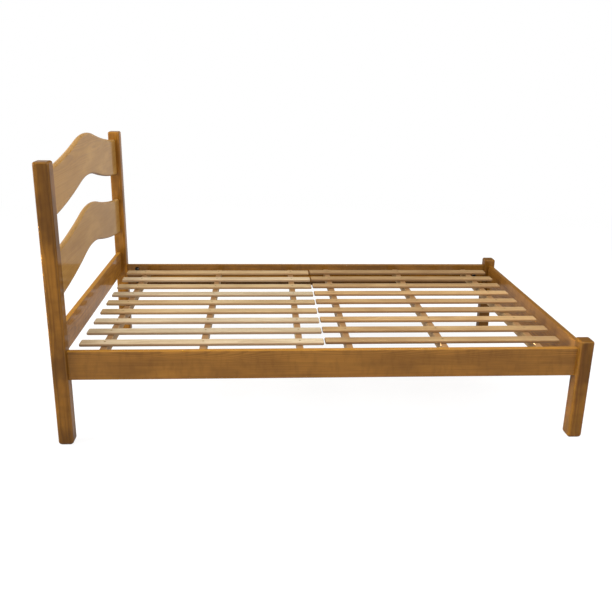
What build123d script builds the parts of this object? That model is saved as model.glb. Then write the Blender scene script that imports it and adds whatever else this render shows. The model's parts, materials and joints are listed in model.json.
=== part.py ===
"""Jointed three-quarter bedstead with two lift-out slat panels, in millimetres.

+X runs from the headboard to the foot, +Y is the sleeper's left and +Z is up. The origin is on the
floor, in the middle of the four posts.
"""
from build123d import *
import os

os.makedirs("parts", exist_ok=True)

# Whole bed, over the posts
bed_length = 1993.0
bed_width = 1162.0

# Posts
post_size = 55.0
head_post_height = 1051.0
foot_post_height = 403.5
post_edge_round = 10.0
post_top_round = 9.0
post_foot_round = 15.0

# Rails: the long sides and the foot are level on top, the foot rail is deeper, the head rail sits higher
rail_thick = 20.0
rail_height = 113.0
rail_bottom = 258.0
rail_round = 4.0
side_rail_setback = 18.0
foot_rail_height = 147.0
foot_rail_setback = 12.5
head_rail_bottom = 329.0
head_rail_height = 113.0
head_rail_setback = 7.5

# Camel-back headboard boards
board_thick = 20.0
board_width = 172.0
board_rise = 79.0
board_round = 9.0
upper_crest = 1092.0
lower_crest = 799.0
crest_half_span = 130.0
crest_turn_drop = 15.5
headboard_setback = 14.0

# Tenons of the head rail, foot rail and headboard boards
tenon_thick = 12.0
tenon_length = 18.0
tenon_shoulder = 10.0

# Slat panels
slats_per_panel = 9
slat_width = 45.0
slat_thick = 13.0
slat_round = 5.0
slat_drop = 9.0
outer_slat_gap = 70.0
slat_end_gap = 20.0
panel_gap = 6.0

# How far each loose panel has slipped from its middle place
head_panel_slip = (-3.0, 0.0)
foot_panel_slip = (-4.0, 9.0)

# Battens on edge under the slats
batten_thick = 24.0
batten_height = 38.0
batten_round = 2.0
batten_inset = 92.0
batten_end_gap = 20.0

# Cleats on the inside of the side rails
cleat_width = 44.0
cleat_height = 22.0
cleat_round = 1.5
cleat_pocket_gap = 10.0

# Bed bolts through the posts into the side rails
bolt_d = 8.0
bolt_length = 105.0
bolt_hole_gap = 0.25
bolt_head_d = 20.0
bolt_head_height = 4.0
bolt_head_gap = 0.5
bolt_key_across = 5.0
bolt_key_depth = 2.5
bolt_spacing = 66.0
pocket_d = 24.0
pocket_depth = 17.0
pocket_reach = 50.0
washer_width = 12.0
washer_seat = 6.0
washer_gap = 0.1
nut_across = 13.0
nut_thick = 6.5
nut_turn = 30.0
nut_bore_gap = 0.1

# Dowels beside the single bolt at the foot
dowel_d = 10.0
dowel_length = 48.0
dowel_spacing = 64.0
dowel_end_gap = 0.5

# Wood screws
screw_fit = 0.1
screw_slot = 0.8
screw_slot_depth = 1.0
slat_screw_d = 4.0
slat_screw_head_d = 8.0
slat_screw_length = 35.0
cleat_screw_d = 5.0
cleat_screw_head_d = 10.0
cleat_screw_length = 56.0
cleat_screws_per_rail = 5
cleat_screw_inset = 60.0

# Places that follow from the sizes above
end_x = bed_length / 2
side_y = bed_width / 2
post_centre_x = end_x - post_size / 2
post_centre_y = side_y - post_size / 2
post_inner_x = end_x - post_size
post_inner_y = side_y - post_size

rail_centre_z = rail_bottom + rail_height / 2
rail_top = rail_bottom + rail_height
side_rail_y = side_y - side_rail_setback - rail_thick / 2
side_rail_inner_y = side_rail_y - rail_thick / 2
head_rail_x = -(end_x - head_rail_setback - rail_thick / 2)
foot_rail_x = end_x - foot_rail_setback - rail_thick / 2
foot_rail_bottom = rail_top - foot_rail_height
board_back_x = -(end_x - headboard_setback)
board_centre_x = board_back_x + board_thick / 2

pocket_x = post_inner_x - pocket_reach
head_bolt_heights = [rail_centre_z - bolt_spacing / 2, rail_centre_z + bolt_spacing / 2]
foot_bolt_heights = [rail_centre_z]
foot_dowel_heights = [rail_centre_z - dowel_spacing / 2, rail_centre_z + dowel_spacing / 2]

slat_top = rail_top - slat_drop
slat_bottom = slat_top - slat_thick
slat_length = post_inner_x - slat_end_gap - panel_gap / 2
outer_slat_y = side_rail_inner_y - outer_slat_gap - slat_width / 2
slat_pitch = 2 * outer_slat_y / (slats_per_panel - 1)
panel_centre_x = (panel_gap + slat_length) / 2
batten_pitch = slat_length / 2 - batten_inset
batten_length = 2 * (side_rail_inner_y - batten_end_gap)

cleat_length = 2 * (pocket_x - pocket_d / 2 - cleat_pocket_gap)
cleat_top = slat_bottom - batten_height
cleat_y = side_rail_inner_y - cleat_width / 2
cleat_screw_pitch = (cleat_length - 2 * cleat_screw_inset) / (cleat_screws_per_rail - 1)

SIDES = {"left": 1, "right": -1}
ENDS = (-1, 1)
SLAT_ROWS = range(slats_per_panel)
BATTEN_COLUMNS = (-1, 0, 1)
FLUSH = (Align.CENTER, Align.CENTER, Align.MAX)
ALONG_X = (0, 90, 0)
ALONG_Y = (90, 0, 0)


def save(piece, name):
    piece.part.label = name
    export_step(piece.part, f"parts/{name}.step")


def bolt_heights(end):
    return head_bolt_heights if end < 0 else foot_bolt_heights


# Fasteners, also used as cutters for their own holes

def screw_holes(places, shank_d, head_d, length):
    """Countersunk holes at places whose +Z points out of the wood."""
    radius = shank_d / 2 + screw_fit
    head_radius = head_d / 2 + screw_fit
    with Locations(*places):
        Cylinder(radius, length + screw_fit, align=FLUSH, mode=Mode.SUBTRACT)
        Cone(radius, head_radius, head_radius - radius, align=FLUSH, mode=Mode.SUBTRACT)


def make_screws(places, shank_d, head_d, length):
    """One group of pointed countersunk wood screws with a cross recess."""
    radius = shank_d / 2
    head_radius = head_d / 2
    tip = shank_d
    with BuildPart() as screws:
        with Locations(*places):
            Cylinder(radius, length - tip, align=FLUSH)
            Cone(radius, head_radius, head_radius - radius, align=FLUSH)
        with Locations(*[place * Location((0, 0, tip - length)) for place in places]):
            Cone(0, radius, tip, align=FLUSH)
        with Locations(*places):
            Box(head_radius, screw_slot, screw_slot_depth, align=FLUSH, mode=Mode.SUBTRACT)
            Box(screw_slot, head_radius, screw_slot_depth, align=FLUSH, mode=Mode.SUBTRACT)
    return screws


def slat_screw_places(panel_x, panel_y, rows, columns):
    """Crossings of the slats and battens named, at the top of the slat."""
    places = []
    for row in rows:
        for column in columns:
            x = panel_x + column * batten_pitch
            y = panel_y + outer_slat_y - row * slat_pitch
            places.append(Location((x, y, slat_top)))
    return places


def cleat_screw_places(side):
    """Evenly along the cleat's inner face, heads towards the middle of the bed."""
    places = []
    for index in range(cleat_screws_per_rail):
        x = cleat_screw_inset - cleat_length / 2 + index * cleat_screw_pitch
        face = Plane(
            origin=(x, side * (cleat_y - cleat_width / 2), cleat_top - cleat_height / 2),
            x_dir=(1, 0, 0),
            z_dir=(0, -side, 0),
        )
        places.append(face.location)
    return places


# Posts

def make_post(end, side, height, mortises, dowel_heights):
    with BuildPart() as post:
        with BuildSketch(Plane.XY) as section:
            with Locations((end * post_centre_x, side * post_centre_y)):
                RectangleRounded(post_size, post_size, post_edge_round)
        extrude(amount=height)
        fillet(post.faces().sort_by(Axis.Z)[-1].edges(), post_top_round)
        fillet(post.faces().sort_by(Axis.Z)[0].edges(), post_foot_round)
        # mortises in the face that looks across the bed
        for mortise_x, (low, high) in mortises:
            with Locations((mortise_x, side * (post_inner_y + tenon_length / 2), (low + high) / 2)):
                Box(tenon_thick, tenon_length, high - low, mode=Mode.SUBTRACT)
        # bolt holes right through, counterbored for the heads on the outer face
        for z in bolt_heights(end):
            with Locations((end * post_centre_x, side * side_rail_y, z)):
                Cylinder(bolt_d / 2 + bolt_hole_gap, post_size, rotation=ALONG_X, mode=Mode.SUBTRACT)
            with Locations((end * (end_x - bolt_head_height / 2), side * side_rail_y, z)):
                Cylinder(
                    bolt_head_d / 2 + bolt_head_gap,
                    bolt_head_height,
                    rotation=ALONG_X,
                    mode=Mode.SUBTRACT,
                )
        # blind dowel holes in the face that meets the side rail
        for z in dowel_heights:
            depth = dowel_length / 2 + dowel_end_gap
            with Locations((end * (post_inner_x + depth / 2), side * side_rail_y, z)):
                Cylinder(dowel_d / 2, depth, rotation=ALONG_X, mode=Mode.SUBTRACT)
    return post


head_rail_span = (head_rail_bottom + tenon_shoulder, head_rail_bottom + head_rail_height - tenon_shoulder)
foot_rail_span = (foot_rail_bottom + tenon_shoulder, rail_top - tenon_shoulder)


def board_span(crest):
    """Heights between which the tenon of a headboard board lies."""
    end_top = crest - board_rise
    return (end_top - board_width + tenon_shoulder, end_top - tenon_shoulder)


head_mortises = [
    (head_rail_x, head_rail_span),
    (board_centre_x, board_span(lower_crest)),
    (board_centre_x, board_span(upper_crest)),
]
foot_mortises = [(foot_rail_x, foot_rail_span)]
for hand, side in SIDES.items():
    head_post = make_post(-1, side, head_post_height, head_mortises, [])
    save(head_post, f"head_post_{hand}")
    foot_post = make_post(1, side, foot_post_height, foot_mortises, foot_dowel_heights)
    save(foot_post, f"foot_post_{hand}")


# Cross rails at the head and the foot, tenoned into the posts

def make_cross_rail(centre_x, bottom, height, span):
    with BuildPart() as rail:
        with BuildSketch(Plane.XZ.offset(-post_inner_y)) as section:
            with Locations((centre_x, bottom + height / 2)):
                RectangleRounded(rail_thick, height, rail_round)
        extrude(amount=2 * post_inner_y)
        with Locations((centre_x, 0, sum(span) / 2)):
            Box(tenon_thick, 2 * (post_inner_y + tenon_length), span[1] - span[0])
    return rail


head_rail = make_cross_rail(head_rail_x, head_rail_bottom, head_rail_height, head_rail_span)
save(head_rail, "head_rail")
foot_rail = make_cross_rail(foot_rail_x, foot_rail_bottom, foot_rail_height, foot_rail_span)
save(foot_rail, "foot_rail")


# Camel-back boards of the headboard

def wave_line(crest):
    """A short crest that runs out on each side into a long, slightly hollow flank, all tangent arcs."""
    end_z = crest - board_rise
    turn_z = crest - crest_turn_drop
    hump = ThreePointArc((-crest_half_span, turn_z), (0, crest), (crest_half_span, turn_z))
    TangentArc(hump @ 1, (post_inner_y, end_z), tangent=hump % 1)
    TangentArc(hump @ 0, (-post_inner_y, end_z), tangent=-(hump % 0))


def make_board(crest):
    end_top = crest - board_rise
    span = board_span(crest)
    with BuildPart() as board:
        with BuildSketch(Plane.YZ.offset(board_back_x)) as face:
            with BuildLine() as outline:
                wave_line(crest)
                wave_line(crest - board_width)
                Line((-post_inner_y, end_top), (-post_inner_y, end_top - board_width))
                Line((post_inner_y, end_top), (post_inner_y, end_top - board_width))
            make_face()
        extrude(amount=board_thick)
        broad_faces = board.faces().sort_by(Axis.X)
        long_edges = (broad_faces[0].edges() + broad_faces[-1].edges()).filter_by(
            lambda edge: abs(edge.center().Y) < post_inner_y - board_round
        )
        fillet(long_edges, board_round)
        with Locations((board_centre_x, 0, sum(span) / 2)):
            for side in SIDES.values():
                with Locations((0, side * (post_inner_y + tenon_length / 2 - tenon_shoulder), 0)):
                    Box(tenon_thick, tenon_length + 2 * tenon_shoulder, span[1] - span[0])
    return board


save(make_board(upper_crest), "headboard_upper_board")
save(make_board(lower_crest), "headboard_lower_board")


# Side rails with nut pockets, and the cleats screwed to them

def make_side_rail(side):
    with BuildPart() as rail:
        with BuildSketch(Plane.YZ.offset(-post_inner_x)) as section:
            with Locations((side * side_rail_y, rail_centre_z)):
                RectangleRounded(rail_thick, rail_height, rail_round)
        extrude(amount=2 * post_inner_x)
        for end in ENDS:
            for z in bolt_heights(end):
                with Locations((end * (post_inner_x - pocket_reach / 2), side * side_rail_y, z)):
                    Cylinder(
                        bolt_d / 2 + bolt_hole_gap, pocket_reach, rotation=ALONG_X, mode=Mode.SUBTRACT
                    )
                with Locations((end * pocket_x, side * (side_rail_inner_y + pocket_depth / 2), z)):
                    Cylinder(pocket_d / 2, pocket_depth, rotation=ALONG_Y, mode=Mode.SUBTRACT)
        for z in foot_dowel_heights:
            depth = dowel_length / 2 + dowel_end_gap
            with Locations((post_inner_x - depth / 2, side * side_rail_y, z)):
                Cylinder(dowel_d / 2, depth, rotation=ALONG_X, mode=Mode.SUBTRACT)
        screw_holes(cleat_screw_places(side), cleat_screw_d, cleat_screw_head_d, cleat_screw_length)
    return rail


def make_cleat(side):
    with BuildPart() as cleat:
        with BuildSketch(Plane.YZ.offset(-cleat_length / 2)) as section:
            with Locations((side * cleat_y, cleat_top - cleat_height / 2)):
                RectangleRounded(cleat_width, cleat_height, cleat_round)
        extrude(amount=cleat_length)
        screw_holes(cleat_screw_places(side), cleat_screw_d, cleat_screw_head_d, cleat_screw_length)
    return cleat


for hand, side in SIDES.items():
    save(make_side_rail(side), f"side_rail_{hand}")
    save(make_cleat(side), f"cleat_{hand}")

cleat_screws = make_screws(
    cleat_screw_places(1) + cleat_screw_places(-1),
    cleat_screw_d,
    cleat_screw_head_d,
    cleat_screw_length,
)
save(cleat_screws, "cleat_screws")


# Bed bolts, washers, nuts and dowels

bolt_places = []
for end in ENDS:
    for side in SIDES.values():
        for z in bolt_heights(end):
            outer = Plane(origin=(end * end_x, side * side_rail_y, z), x_dir=(0, 1, 0), z_dir=(end, 0, 0))
            bolt_places.append(outer.location)

with BuildPart() as bed_bolts:
    with Locations(*bolt_places):
        Cylinder(bolt_head_d / 2, bolt_head_height, align=FLUSH)
        Cylinder(bolt_d / 2, bolt_head_height + bolt_length, align=FLUSH)
    with BuildSketch(*bolt_places) as key:
        RegularPolygon(bolt_key_across / 2, 6, major_radius=False)
    extrude(amount=-bolt_key_depth, mode=Mode.SUBTRACT)
save(bed_bolts, "bed_bolts")

# depth of the washer's flat side below the outer face of the post
nut_seat_depth = end_x - pocket_x - washer_seat
nut_seats = [place * Location((0, 0, -nut_seat_depth)) for place in bolt_places]

with BuildPart() as bolt_nuts:
    with BuildSketch(*nut_seats) as hexagon:
        RegularPolygon(nut_across / 2, 6, major_radius=False, rotation=nut_turn)
        Circle(bolt_d / 2 + nut_bore_gap, mode=Mode.SUBTRACT)
    extrude(amount=-nut_thick)
save(bolt_nuts, "bolt_nuts")

# half-moon washers that fill the pocket between its round wall and the nut
with BuildPart() as bolt_washers:
    with Locations(*[seat * Location((0, 0, -washer_seat)) for seat in nut_seats]):
        Cylinder(pocket_d / 2 - washer_gap, washer_width, rotation=ALONG_X)
    with Locations(*nut_seats):
        Box(pocket_d, pocket_d, pocket_d, align=FLUSH, mode=Mode.SUBTRACT)
        Cylinder(bolt_d / 2 + bolt_hole_gap, pocket_d, mode=Mode.SUBTRACT)
save(bolt_washers, "bolt_washers")

with BuildPart() as rail_dowels:
    for side in SIDES.values():
        for z in foot_dowel_heights:
            with Locations((post_inner_x, side * side_rail_y, z)):
                Cylinder(dowel_d / 2, dowel_length, rotation=ALONG_X)
save(rail_dowels, "rail_dowels")


# Slat panels

def make_slat(panel_x, panel_y, row):
    y = panel_y + outer_slat_y - row * slat_pitch
    with BuildPart() as slat:
        with Locations((panel_x, y, slat_top - slat_thick / 2)):
            Box(slat_length, slat_width, slat_thick)
        fillet(slat.edges(), slat_round)
        screw_holes(
            slat_screw_places(panel_x, panel_y, [row], BATTEN_COLUMNS),
            slat_screw_d,
            slat_screw_head_d,
            slat_screw_length,
        )
    return slat


def make_batten(panel_x, panel_y, column):
    with BuildPart() as batten:
        with BuildSketch(Plane.XZ.offset(-panel_y - batten_length / 2)) as section:
            with Locations((panel_x + column * batten_pitch, slat_bottom - batten_height / 2)):
                RectangleRounded(batten_thick, batten_height, batten_round)
        extrude(amount=batten_length)
        screw_holes(
            slat_screw_places(panel_x, panel_y, SLAT_ROWS, [column]),
            slat_screw_d,
            slat_screw_head_d,
            slat_screw_length,
        )
    return batten


panel_centres = {
    "head": (head_panel_slip[0] - panel_centre_x, head_panel_slip[1]),
    "foot": (foot_panel_slip[0] + panel_centre_x, foot_panel_slip[1]),
}
for panel, (panel_x, panel_y) in panel_centres.items():
    for row in SLAT_ROWS:
        save(make_slat(panel_x, panel_y, row), f"{panel}_slat_{row + 1}")
    for number, column in enumerate(BATTEN_COLUMNS, start=1):
        save(make_batten(panel_x, panel_y, column), f"{panel}_batten_{number}")
    panel_screws = make_screws(
        slat_screw_places(panel_x, panel_y, SLAT_ROWS, BATTEN_COLUMNS),
        slat_screw_d,
        slat_screw_head_d,
        slat_screw_length,
    )
    save(panel_screws, f"{panel}_panel_screws")
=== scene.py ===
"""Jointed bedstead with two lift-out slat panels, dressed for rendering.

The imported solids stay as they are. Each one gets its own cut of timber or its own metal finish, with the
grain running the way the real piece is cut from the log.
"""

import json
import math

import bpy
from mathutils import Matrix, Vector


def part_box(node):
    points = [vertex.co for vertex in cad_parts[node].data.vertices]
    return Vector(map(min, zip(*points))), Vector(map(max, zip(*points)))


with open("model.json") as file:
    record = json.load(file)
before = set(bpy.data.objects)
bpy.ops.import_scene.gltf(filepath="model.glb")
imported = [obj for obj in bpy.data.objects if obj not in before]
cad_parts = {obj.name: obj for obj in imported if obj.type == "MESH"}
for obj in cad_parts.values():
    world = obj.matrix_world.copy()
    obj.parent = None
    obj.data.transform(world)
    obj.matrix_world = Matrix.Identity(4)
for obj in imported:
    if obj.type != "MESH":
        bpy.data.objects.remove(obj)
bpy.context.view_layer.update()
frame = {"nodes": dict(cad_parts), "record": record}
NODES = frame["nodes"]


# ---------------------------------------------------------------- shader helpers

# Sockets that have to be given by their number
OBJECT_PLACE = 3
OUTWARD = 1
CAMERA_RAY, GLOSSY_RAY, CLEAR_RAY = 0, 3, 6
COLOUR_MIX_INPUTS = (0, 6, 7)
COLOUR_MIX_OUTPUT = 2


class Value:
    """One socket of a material, so that shader maths reads as ordinary expressions."""

    def __init__(self, finish, socket):
        self.finish = finish
        self.socket = socket

    def _math(self, operation, *terms, clamp=False):
        return self.finish.node("ShaderNodeMath", {"operation": operation, "use_clamp": clamp}, *terms)

    def __add__(self, other):
        return self._math("ADD", self, other)

    def __sub__(self, other):
        return self._math("SUBTRACT", self, other)

    def __mul__(self, other):
        return self._math("MULTIPLY", self, other)

    def __truediv__(self, other):
        return self._math("DIVIDE", self, other)

    def __radd__(self, other):
        return self._math("ADD", other, self)

    def __rsub__(self, other):
        return self._math("SUBTRACT", other, self)

    def __rmul__(self, other):
        return self._math("MULTIPLY", other, self)

    def low(self, other):
        return self._math("MINIMUM", self, other)

    def high(self, other):
        return self._math("MAXIMUM", self, other)

    def size(self):
        return self._math("ABSOLUTE", self)

    def root(self):
        return self._math("SQRT", self)

    def cycle(self):
        return self._math("FRACT", self)

    def clamped(self):
        return self._math("ADD", self, 0.0, clamp=True)

    def rise(self, start, end):
        """0 below start, 1 above end and smooth between; start may be the larger of the two."""
        inputs = {"Value": self, "From Min": start, "From Max": end}
        return self.finish.node("ShaderNodeMapRange", {"interpolation_type": "SMOOTHSTEP"}, **inputs)


class Finish:
    """The nodes of a material, or of the world, under construction."""

    def __init__(self, owner):
        self.owner = owner
        owner.use_nodes = True
        self.tree = owner.node_tree
        self.tree.nodes.clear()

    def node(self, kind, settings=None, *ordered, out=0, **named):
        """Adds a node, makes its settings, fills its sockets in order or by name; returns one output."""
        made = self.tree.nodes.new(kind)
        for key, setting in (settings or {}).items():
            setattr(made, key, setting)
        in_order = list(zip(made.inputs, ordered))
        by_name = [(made.inputs[key], item) for key, item in named.items()]
        for socket, item in in_order + by_name:
            if isinstance(item, Value):
                self.tree.links.new(item.socket, socket)
            elif item is not None:
                socket.default_value = item
        return Value(self, made.outputs[out])

    def split(self, vector):
        """The x, y and z of a vector."""
        return [self.node("ShaderNodeSeparateXYZ", None, vector, out=axis) for axis in range(3)]

    def place(self):
        """Where the point lies on the object: x, y and z in metres."""
        return self.split(self.node("ShaderNodeTexCoord", out=OBJECT_PLACE))

    def facing(self):
        """The way the surface faces: x, y and z of a direction of length 1."""
        return self.split(self.node("ShaderNodeNewGeometry", out=OUTWARD))

    def vector(self, x, y, z):
        return self.node("ShaderNodeCombineXYZ", None, x, y, z)

    def noise(self, vector, scale=1.0, detail=2.0, roughness=0.5):
        sockets = {"Vector": vector, "Scale": scale, "Detail": detail, "Roughness": roughness}
        return self.node("ShaderNodeTexNoise", {"noise_dimensions": "3D"}, **sockets)

    def bump(self, height, strength, distance):
        sockets = {"Strength": strength, "Distance": distance, "Height": height}
        return self.node("ShaderNodeBump", None, **sockets)

    def ray(self, kind):
        """1 for rays of that kind and 0 for the others."""
        return self.node("ShaderNodeLightPath", out=kind)

    def mix(self, share, first, second, blend="MIX"):
        """Colours mixed by a share from 0 to 1."""
        made = self.tree.nodes.new("ShaderNodeMix")
        made.data_type = "RGBA"
        made.blend_type = blend
        made.clamp_factor = True
        for index, item in zip(COLOUR_MIX_INPUTS, (share, first, second)):
            if isinstance(item, Value):
                self.tree.links.new(item.socket, made.inputs[index])
            else:
                made.inputs[index].default_value = item
        return Value(self, made.outputs[COLOUR_MIX_OUTPUT])

    def close(self, shader, output="ShaderNodeOutputMaterial"):
        self.tree.links.new(shader.socket, self.tree.nodes.new(output).inputs["Surface"])
        return self.owner


def paint(red, green, blue):
    """A colour given as it looks on a screen, 0 to 255, as the linear colour the shader wants."""
    def linear(channel):
        share = channel / 255
        return share / 12.92 if share <= 0.04045 else ((share + 0.055) / 1.055) ** 2.4
    return (linear(red), linear(green), linear(blue), 1.0)


# Irrational steps: each spreads the shares of neighbouring pieces well, and no two keep in step
PITH_STEP, TURN_STEP, LEAN_STEP, TONE_STEP = 0.6180339887, 0.7548776662, 0.5698402910, 0.4142135624


def share_of(number, step):
    """A steady, well spread share from 0 to 1 for piece number, so that no two neighbours match."""
    return (0.5 + number * step) % 1.0


# ---------------------------------------------------------------- timber

# Colours of each finish: pale early wood, dark late wood, the darker patches, the clear patches between
# them, the arrises with their painted light, the end grain, the fine fibres, the narrow sides with their
# painted shade, and the faces that look up (painted highlight) and down (painted shade). Shares from 0 to
# 1:
# how strongly the painted light on faces up and down, the painted shade on the narrow sides, the clouds of
# patches and the curl show. A lower cloud_edge makes harder clouds, and cloud_length is their number to
# the metre. Gloss: roughness, the wood's own shine (level), the coat of varnish and the relief (bump).
VARNISHED = {
    "early": paint(162, 111, 46),
    "late": paint(122, 78, 28),
    "patch": paint(98, 61, 24),
    "clear": paint(184, 126, 50),
    "arris": paint(192, 134, 56),
    "end": paint(98, 60, 22),
    "fibre": paint(84, 51, 20),
    "flank": paint(134, 86, 32),
    "upper": paint(182, 128, 44),
    "under": paint(92, 57, 22),
    "up_down_painted_light": 0.60,
    "side_shade_share": 0.0,
    "cloud": 0.36,
    "cloud_edge": 0.68,
    "cloud_length": 3.6,
    "curl": 0.20,
    "rough": 0.45,
    "level": 0.03,
    "coat": 0.32,
    "bump": 0.10,
}
DARK_VARNISH = dict(
    VARNISHED,
    early=paint(160, 106, 34),
    late=paint(116, 72, 17),
    patch=paint(92, 56, 12),
    clear=paint(188, 126, 40),
    arris=paint(190, 134, 54),
    cloud=0.62,
    cloud_edge=0.65,
    cloud_length=5.0,
    curl=0.14,
)
# The foot rail: its upper faces and arrises are painted darker, a painted shade that tones down how
# brightly they are lit
FOOT_RAIL_SHADED_TOP = dict(
    VARNISHED,
    arris=paint(150, 98, 28),
    upper=paint(104, 68, 10),
)
# The headboard's boards: their pale base is partly painted sheen, put in place of a stronger coat of
# varnish, and their pale arrises and upper faces are a painted highlight on the rounded edges
HEADBOARD_VARNISH_AND_SHEEN = dict(
    VARNISHED,
    early=paint(178, 134, 68),
    late=paint(150, 106, 50),
    patch=paint(142, 100, 46),
    clear=paint(190, 146, 76),
    arris=paint(204, 164, 110),
    fibre=paint(126, 86, 40),
    upper=paint(176, 138, 90),
    under=paint(80, 50, 22),
    cloud=0.40,
    curl=0.10,
    coat=0.28,
)
PALE_PINE = {
    "early": paint(204, 184, 150),
    "late": paint(178, 153, 117),
    "patch": paint(172, 146, 110),
    "clear": paint(212, 194, 162),
    "arris": paint(212, 194, 162),
    "end": paint(162, 134, 98),
    "fibre": paint(152, 124, 90),
    "flank": paint(158, 122, 86),
    "upper": paint(204, 184, 150),
    "under": paint(150, 116, 80),
    "up_down_painted_light": 0.0,
    "side_shade_share": 0.70,
    "cloud": 0.55,
    "cloud_edge": 0.68,
    "cloud_length": 3.6,
    "curl": 0.10,
    "rough": 0.55,
    "level": 0.30,
    "coat": 0.0,
    "bump": 0.20,
}
MIXED_PINE = dict(
    PALE_PINE,
    early=paint(194, 166, 122),
    late=paint(168, 138, 94),
    patch=paint(162, 130, 86),
    clear=paint(204, 178, 134),
    arris=paint(202, 176, 134),
    fibre=paint(144, 112, 72),
    flank=paint(150, 112, 72),
)
GOLDEN_PINE = dict(
    PALE_PINE,
    early=paint(186, 151, 102),
    late=paint(160, 123, 76),
    patch=paint(152, 115, 71),
    clear=paint(196, 163, 114),
    arris=paint(194, 162, 114),
    end=paint(144, 107, 65),
    fibre=paint(134, 97, 57),
    flank=paint(140, 100, 62),
)

# Pieces made darker or lighter than the rest of their kind: partly their own wood and stain, partly
# painted shade and light for how the lamps fall on them; the far side rail is painted dark for the shade
# on its inner face
TONE_AND_PAINTED_LIGHT = {
    "foot_post_left": 0.74,
    "foot_post_right": 0.68,
    "head_post_left": 1.00,
    "head_post_right": 0.70,
    "head_rail": 0.98,
    "foot_rail": 1.12,
    "side_rail_left": 0.60,
    "side_rail_right": 0.86,
    "headboard_lower_board": 0.88,
    "cleat_left": 0.80,
    "cleat_right": 0.80,
    "head_slat_2": 1.12,
    "head_slat_4": 0.93,
    "head_slat_8": 0.86,
    "head_slat_9": 1.06,
    "foot_slat_1": 0.84,
    "foot_slat_2": 0.86,
    "foot_slat_4": 1.16,
    "foot_slat_7": 1.10,
    "foot_slat_9": 0.82,
}
MIXED_SLATS = ("head_slat_1", "head_slat_3", "head_slat_5", "head_slat_6")

# In metres: one year's growth, how far off the face the pith lies at least and by how much more at most,
# how far the pith leans over a metre, and how far the painted light on an arris reaches in from the edge
# and fades out
RING_SPACING = 0.0042
PITH_OFF, PITH_SPREAD, PITH_LEAN = 0.045, 0.05, 0.030
ARRIS_WIDTH, ARRIS_BLEND = 0.006, 0.0055

# The varnish, and the depth in metres of the grain's relief and of the marks on steel
VARNISH_ROUGHNESS, VARNISH_IOR = 0.09, 1.5
GRAIN_RELIEF, MARK_RELIEF = 0.0006, 0.0002


def figure(finish, across, along, wide, long, moved=(0.0, 0.0), octaves=2.0, rough=0.5):
    """Noise in the wood, with so many cells to the metre across the fibres (wide) and along them (long).

    moved shifts it sideways, so that each piece has its own.
    """
    spot = finish.vector(across[0] * wide + moved[0], across[1] * wide + moved[1], along * long)
    return finish.noise(spot, 1.0, octaves, rough)


def growth_rings(finish, across, along, centre, width, number):
    """0 in the pale early wood of each ring, and up to 1 in its dark late wood.

    The pith lies off the wide face of the piece, leans a little along it and wanders.
    """
    turn = share_of(number, TURN_STEP)
    lean = (share_of(number, LEAN_STEP) - 0.5) * PITH_LEAN
    wide = 0 if width[0] >= width[1] else 1
    pith = [0.0, 0.0]
    pith[wide] = centre[wide] + (turn - 0.5) * width[wide] * 1.1
    pith[1 - wide] = centre[1 - wide] - (PITH_OFF + PITH_SPREAD * share_of(number, PITH_STEP))
    sway = figure(finish, across, along, 2.0, 1.3, (number * 3.1, 0.0), 1.5, 0.45)
    ripple = figure(finish, across, along, 9.0, 5.0, (0.0, number * 1.7))
    off = [across[0] - pith[0] - along * lean + (sway - 0.5) * 0.060,
           across[1] - pith[1] + along * (lean * 0.6) + (ripple - 0.5) * 0.012]
    radius = (off[0] * off[0] + off[1] * off[1]).root()
    uneven = finish.noise(finish.vector(radius * 38.0, number * 2.3, 0.0), 1.0, 2.0, 0.6)
    rings = (radius / RING_SPACING + uneven * 1.6).cycle()
    return rings.rise(0.25, 0.88) * (1.0 - rings.rise(0.90, 1.0))


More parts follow.
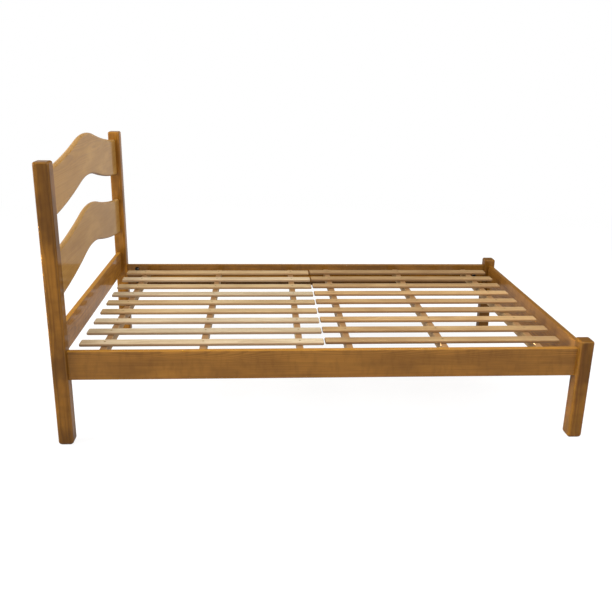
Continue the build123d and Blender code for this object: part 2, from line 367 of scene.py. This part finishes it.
def timber(name, look, grain, low, high, number, depth):
    """Solid timber, with every face of the piece cut from one log.

    grain is the axis the fibres follow; low and high are the corners of the piece in metres; depth makes
    the whole piece lighter or darker, for its own tone and for painted shade and light.
    """
    finish = Finish(bpy.data.materials.new(name))
    xyz = finish.place()
    sides = [axis for axis in range(3) if axis != grain]
    along = xyz[grain]
    across = [xyz[axis] for axis in sides]
    centre = [(low[axis] + high[axis]) / 2 for axis in sides]
    width = [high[axis] - low[axis] for axis in sides]

    late = growth_rings(finish, across, along, centre, width, number)

    # fine and broader streaks, clouds and, as curly figure, faint bars across the grain
    fine = figure(finish, across, along, 620.0, 9.0, (0.0, number), 3.0, 0.62)
    streak = figure(finish, across, along, 150.0, 2.2, (number, 0.0), 2.0, 0.55)
    blotch = figure(finish, across, along, 11.0, look["cloud_length"], (0.0, number * 5.3), 3.0, 0.55)
    curl = figure(finish, across, along, 16.0, 52.0, (0.0, number * 2.9))

    # end grain drinks the finish and goes dark
    facing = finish.facing()
    end_grain = facing[grain].size().rise(0.55, 0.9)

    # painted shade: the faces of a slat or batten other than its two wide ones are painted browner, for
    # the shade on its edges
    thin = min(range(3), key=lambda axis: high[axis] - low[axis])
    flank = facing[thin].size().rise(0.97, 0.45)

    # the arrises, where two faces of the piece meet, carry a painted highlight (a painted shade on the
    # foot rail)
    reach = [(across[i] - centre[i]).size() - (width[i] / 2 - ARRIS_WIDTH) for i in (0, 1)]
    arris = reach[0].low(reach[1]).rise(0.0, ARRIS_BLEND) * blotch.rise(0.30, 0.62)

    colour = finish.mix(late * 0.50, look["early"], look["late"])
    colour = finish.mix(streak.rise(0.40, 0.78) * 0.34, colour, look["patch"])
    colour = finish.mix(blotch.rise(0.45, look["cloud_edge"]) * look["cloud"], colour, look["patch"])
    colour = finish.mix(blotch.rise(0.46, 0.28) * 0.60, colour, look["clear"])
    colour = finish.mix(curl.rise(0.46, 0.70) * look["curl"], colour, look["patch"])
    colour = finish.mix(fine.rise(0.54, 0.76) * 0.30, colour, look["fibre"])
    # painted light along the arrises: a highlight, and on the foot rail a shade
    colour = finish.mix(arris * 0.30, colour, look["arris"])
    # painted shade on the narrow sides of slats and battens
    colour = finish.mix(flank * look["side_shade_share"], colour, look["flank"])
    # painted light and shade: faces that look up take a painted highlight (a painted shade on the foot
    # rail), faces that look down a painted shade
    colour = finish.mix(facing[2].rise(0.25, 0.85) * look["up_down_painted_light"], colour, look["upper"])
    colour = finish.mix(facing[2].rise(-0.25, -0.85) * look["up_down_painted_light"], colour, look["under"])
    colour = finish.mix(end_grain * 0.60, colour, look["end"])
    # depth: the piece's own tone together with its painted shade and light
    tone = depth * (0.95 + 0.10 * share_of(number, TONE_STEP))
    colour = finish.mix(1.0, colour, (tone, tone * 0.995, tone * 0.985, 1.0), "MULTIPLY")

    rough = look["rough"] + late * -0.05 + fine.rise(0.5, 0.8) * 0.10 + end_grain * 0.12 + blotch * 0.06
    relief = fine * 0.5 + streak * 0.2 + late * 0.25
    shader = finish.node(
        "ShaderNodeBsdfPrincipled",
        None,
        **{
            "Base Color": colour,
            "Roughness": rough.clamped(),
            "Normal": finish.bump(relief, look["bump"], GRAIN_RELIEF),
            "Specular IOR Level": look["level"],
            "Coat Weight": look["coat"],
            "Coat Roughness": VARNISH_ROUGHNESS,
            "Coat IOR": VARNISH_IOR,
        },
    )
    return finish.close(shader)


def hardware(name, plain, bright, marked, rough):
    """Plated steel, and steel painted near-black as painted shade: a faint crystal cloud between two
    tones, and fine tool marks.
    """
    finish = Finish(bpy.data.materials.new(name))
    x, y, z = finish.place()
    cloud = finish.noise(finish.vector(x, y, z), 90.0, 3.0, 0.55)
    marks = finish.noise(finish.vector(x * 1400.0, y * 1400.0, z * 1400.0), 1.0, 2.0, 0.6)
    colour = finish.mix(cloud.rise(0.3, 0.7), plain, bright)
    colour = finish.mix(marks.rise(0.55, 0.8) * 0.35, colour, marked)
    shader = finish.node(
        "ShaderNodeBsdfPrincipled",
        None,
        **{
            "Base Color": colour,
            "Metallic": 1.0,
            "Roughness": (rough + cloud * 0.16 + marks * 0.08).clamped(),
            "Normal": finish.bump(marks, 0.12, MARK_RELIEF),
        },
    )
    return finish.close(shader)


def grain_axis(node):
    """The fibres follow the longest side of the piece."""
    low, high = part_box(node)
    sides = [high[axis] - low[axis] for axis in range(3)]
    return sides.index(max(sides))


def cut_of(node):
    """Which finish a wooden piece has; the head panel was cut from paler boards than the foot panel."""
    if node.startswith("headboard"):
        return HEADBOARD_VARNISH_AND_SHEEN
    if "post" in node:
        return DARK_VARNISH
    if node == "foot_rail":
        return FOOT_RAIL_SHADED_TOP
    if SLOTS[node] == "varnished_pine":
        return VARNISHED
    if node in MIXED_SLATS:
        return MIXED_PINE
    return PALE_PINE if node.startswith("head_slat") else GOLDEN_PINE


SLOTS = {entry["node"]: entry["material_slot"] for entry in frame["record"]["subparts"]}
zinc = hardware(
    "zinc_plated_steel", paint(178, 180, 182), paint(205, 203, 196), paint(140, 138, 132), 0.34)
# The nuts and washers sit deep in the bolt pockets: their near-black steel is painted shade for the dark
# pockets
pocket_shade_steel = hardware(
    "steel_painted_dark_as_shade", paint(52, 50, 47), paint(70, 67, 62), paint(38, 36, 34), 0.48)
yellow = hardware(
    "yellow_zinc_steel", paint(160, 128, 78), paint(176, 144, 92), paint(120, 92, 54), 0.46)
HARDWARE = {
    "bed_bolts": zinc,
    "bolt_nuts": pocket_shade_steel,
    "bolt_washers": pocket_shade_steel,
    "cleat_screws": yellow,
    "head_panel_screws": yellow,
    "foot_panel_screws": yellow,
}
for number, node in enumerate(sorted(NODES), start=1):
    look = HARDWARE.get(node)
    if look is None:
        name = f"{SLOTS[node]}_{node}"
        low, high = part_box(node)
        look = timber(name, cut_of(node), grain_axis(node), low, high, number, TONE_AND_PAINTED_LIGHT.get(node, 1.0))
    mesh = NODES[node].data
    for index in range(len(mesh.materials)):
        mesh.materials[index] = look


# ---------------------------------------------------------------- studio

WHITE = (1.0, 1.0, 1.0, 1.0)

# In metres; the floor lies a hair below the posts, so that the two faces don't share a plane
FLOOR_RADIUS, FLOOR_GAP = 40.0, 0.0004

# The floor fades into the white surround between these distances from the bed, in metres
SWEEP_START, SWEEP_END = 2.2, 5.0

# The floor under the bed: how white it glows, and how much of the light on it shows beside the glow. The
# varnish mirrors a floor that lies more in shadow, so what the camera itself sees is added to both.
MIRRORED_GLOW, CAMERA_GLOW = 0.30, 0.50
MIRRORED_LIGHT, CAMERA_LIGHT = 0.7, 0.6

# The ceiling fades in between these heights of a reflected ray, as the sine of its angle
CEILING_START, CEILING_END = 0.13, 0.24


def seen_from_outside(finish):
    """1 for what the camera sees itself, in a reflection or through glass, and 0 for bounced light."""
    return finish.ray(CAMERA_RAY).high(finish.ray(GLOSSY_RAY)).high(finish.ray(CLEAR_RAY))


def white_floor():
    """Pale floor that reads as a white studio sweep and still takes the bed's shadow."""
    finish = Finish(bpy.data.materials.new("studio_floor"))
    x, y, z = finish.place()
    far = (x * x + y * y).root().rise(SWEEP_START, SWEEP_END)
    grit = finish.noise(finish.vector(x, y, z), 6.0, 3.0, 0.5)
    shade = finish.mix(grit, (0.52, 0.52, 0.52, 1.0), (0.56, 0.56, 0.56, 1.0))
    bounce = finish.node("ShaderNodeBsdfDiffuse", None, **{"Color": shade, "Roughness": 0.5})
    camera_ray = finish.ray(CAMERA_RAY)
    near = camera_ray * CAMERA_GLOW + MIRRORED_GLOW
    white = far * (1.0 - near) + near
    light = (1.0 - white) * (camera_ray * CAMERA_LIGHT + MIRRORED_LIGHT)
    grey = finish.vector(light, light, light)
    matte = finish.node("ShaderNodeBsdfDiffuse", None, **{"Color": grey, "Roughness": 0.5})
    glow = finish.node("ShaderNodeEmission", None, **{"Color": WHITE, "Strength": white})
    lit = finish.node("ShaderNodeAddShader", None, matte, glow)
    seen = seen_from_outside(finish)
    return finish.close(finish.node("ShaderNodeMixShader", None, seen, bounce, lit))


bpy.ops.object.select_all(action="DESELECT")
bpy.ops.mesh.primitive_circle_add(
    vertices=96, radius=FLOOR_RADIUS, fill_type="NGON", location=(0.0, 0.0, -FLOOR_GAP))
floor = bpy.context.object
floor.name = "studio_floor"
bpy.ops.object.transform_apply(location=True, rotation=True, scale=True)
floor.data.materials.append(white_floor())


def white_world(fill, ceiling):
    """White surround with a dim ceiling in reflections; fill is the strength it lights with."""
    finish = Finish(bpy.data.worlds.new("studio"))
    height = finish.split(finish.node("ShaderNodeTexCoord"))[2]
    mirrored = 1.0 - finish.ray(CAMERA_RAY)
    shade = (height.rise(CEILING_START, CEILING_END) * mirrored) * (ceiling - 1.0) + 1.0
    lit = finish.node("ShaderNodeBackground", None, **{"Color": WHITE, "Strength": fill})
    white = finish.node("ShaderNodeBackground", None, **{"Color": WHITE, "Strength": shade})
    blend = finish.node("ShaderNodeMixShader", None, seen_from_outside(finish), lit, white)
    bpy.context.scene.world = finish.close(blend, "ShaderNodeOutputWorld")


def softbox(name, place, aim, size, watts, spread=180.0):
    """A diffuser of that size at place, facing aim; a grid on it can narrow its spread, in degrees."""
    lamp = bpy.data.lights.new(name, "AREA")
    lamp.shape = "RECTANGLE"
    lamp.size, lamp.size_y = size
    lamp.energy = watts
    lamp.spread = math.radians(spread)
    rig = bpy.data.objects.new(name, lamp)
    bpy.context.scene.collection.objects.link(rig)
    rig.location = place
    rig.rotation_euler = (Vector(aim) - Vector(place)).to_track_quat("-Z", "Y").to_euler()


white_world(fill=0.34, ceiling=0.20)
softbox("overhead", (0.0, -0.6, 3.4), (0.0, 0.0, 0.3), (4.2, 3.0), 85.0)
softbox("front", (2.1, -4.4, 3.0), (0.8, 0.0, 0.6), (3.2, 1.8), 82.0)
softbox("left_side", (-4.0, -1.2, 1.8), (0.6, 0.0, 0.3), (2.4, 2.0), 150.0)
softbox("right_side", (4.0, -1.2, 2.4), (0.0, 0.0, 0.6), (2.4, 1.8), 52.0)
softbox("foot_end", (-2.6, -0.78, 0.9), (0.97, -0.52, 0.25), (0.3, 0.3), 0.9, spread=13.0)


# ---------------------------------------------------------------- camera

# Solved from the posts: heading, dip and tilt in radians, and the place of the lens in metres
HEADING, DIP, TILT = 0.06136, 0.28423, -0.01793
STAND = Vector((-0.23983, -2.79277, 1.35137))

ahead = Vector((
    math.sin(HEADING) * math.cos(DIP),
    math.cos(HEADING) * math.cos(DIP),
    -math.sin(DIP),
))
level = Vector((math.cos(HEADING), -math.sin(HEADING), 0.0))
down = ahead.cross(level)
right = level * math.cos(TILT) + down * math.sin(TILT)
up = level * math.sin(TILT) - down * math.cos(TILT)

lens = bpy.data.cameras.new("camera")
lens.sensor_width = 36.0
lens.lens = 38.891
lens.shift_x = 0.00688
lens.shift_y = -0.06845
lens.clip_start = 0.05
lens.clip_end = 200.0
camera = bpy.data.objects.new("camera", lens)
bpy.context.scene.collection.objects.link(camera)
turned = Matrix((right, up, -ahead)).transposed().to_4x4()
camera.matrix_world = Matrix.Translation(STAND) @ turned
bpy.context.scene.camera = camera

scene = bpy.context.scene
scene.view_settings.view_transform = "Standard"
